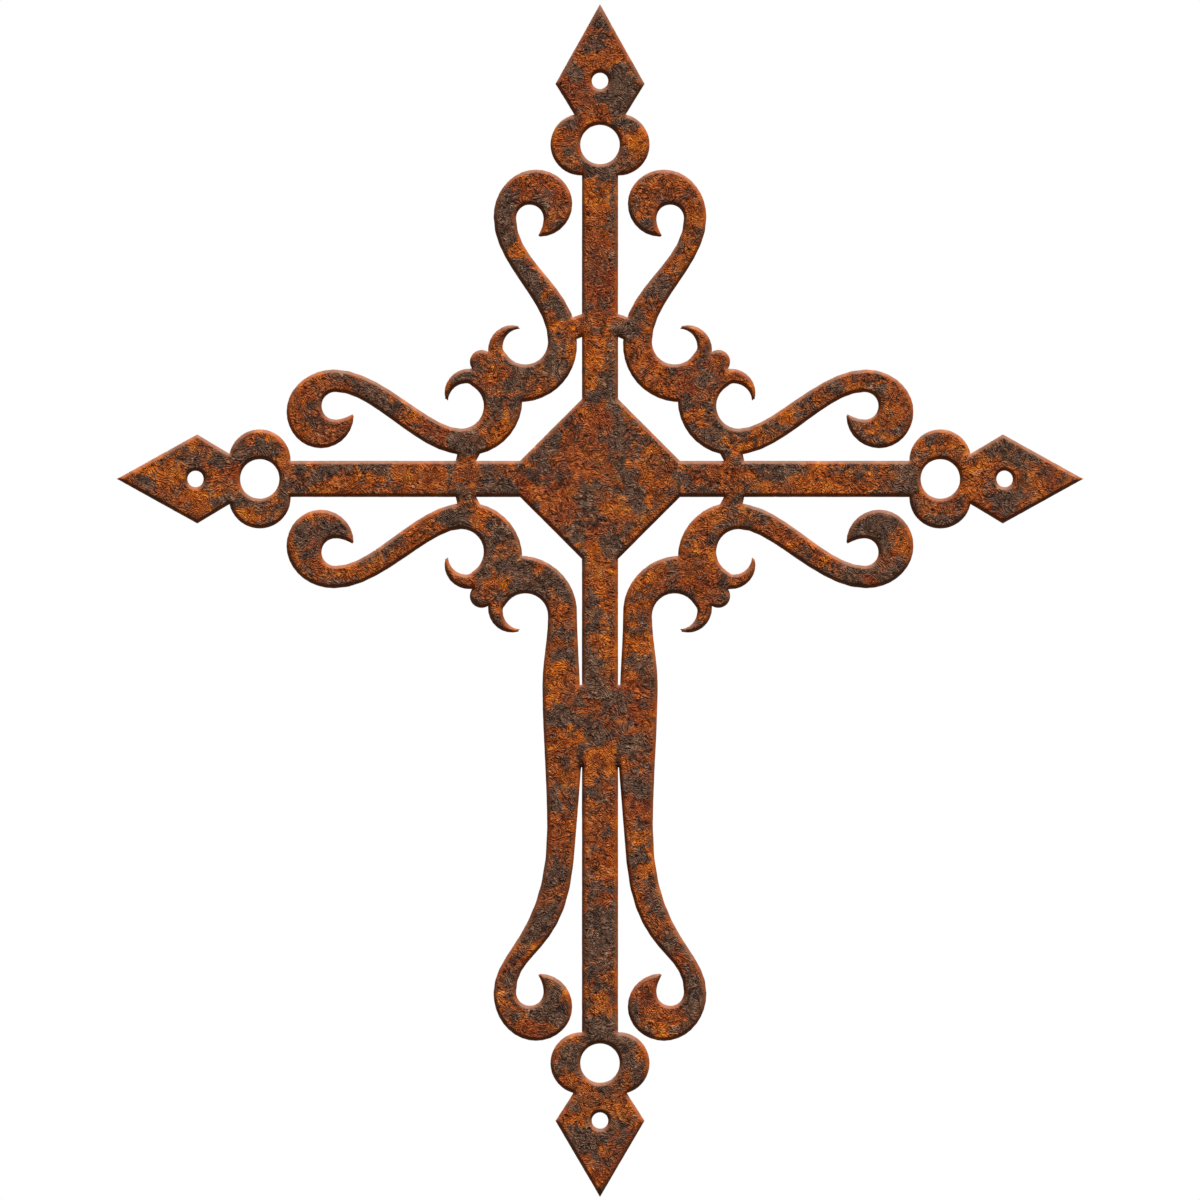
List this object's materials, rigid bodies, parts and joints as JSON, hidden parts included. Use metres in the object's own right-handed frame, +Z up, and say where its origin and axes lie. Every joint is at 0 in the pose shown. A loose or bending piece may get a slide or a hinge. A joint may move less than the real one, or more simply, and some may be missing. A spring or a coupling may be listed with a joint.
{
  "type": "wrought iron cross",
  "caption": "Flat wrought iron memorial cross with spearhead ends, ring collars, scrolls and corner crescents, pierced with nail holes for fixing.",
  "frame": {"origin": "axis of the top nail hole, on the back face", "axes": "+Z up along the upright, +X along the arms, front towards -Y, back face on Y = 0"},
  "size_m": [0.325, 0.005, 0.401],
  "materials": {
    "rusted_iron": "rusted all over, matte, flaking and pitted"
  },
  "bodies": {
    "root": {"cross": "rusted_iron"}
  },
  "joints": []
}
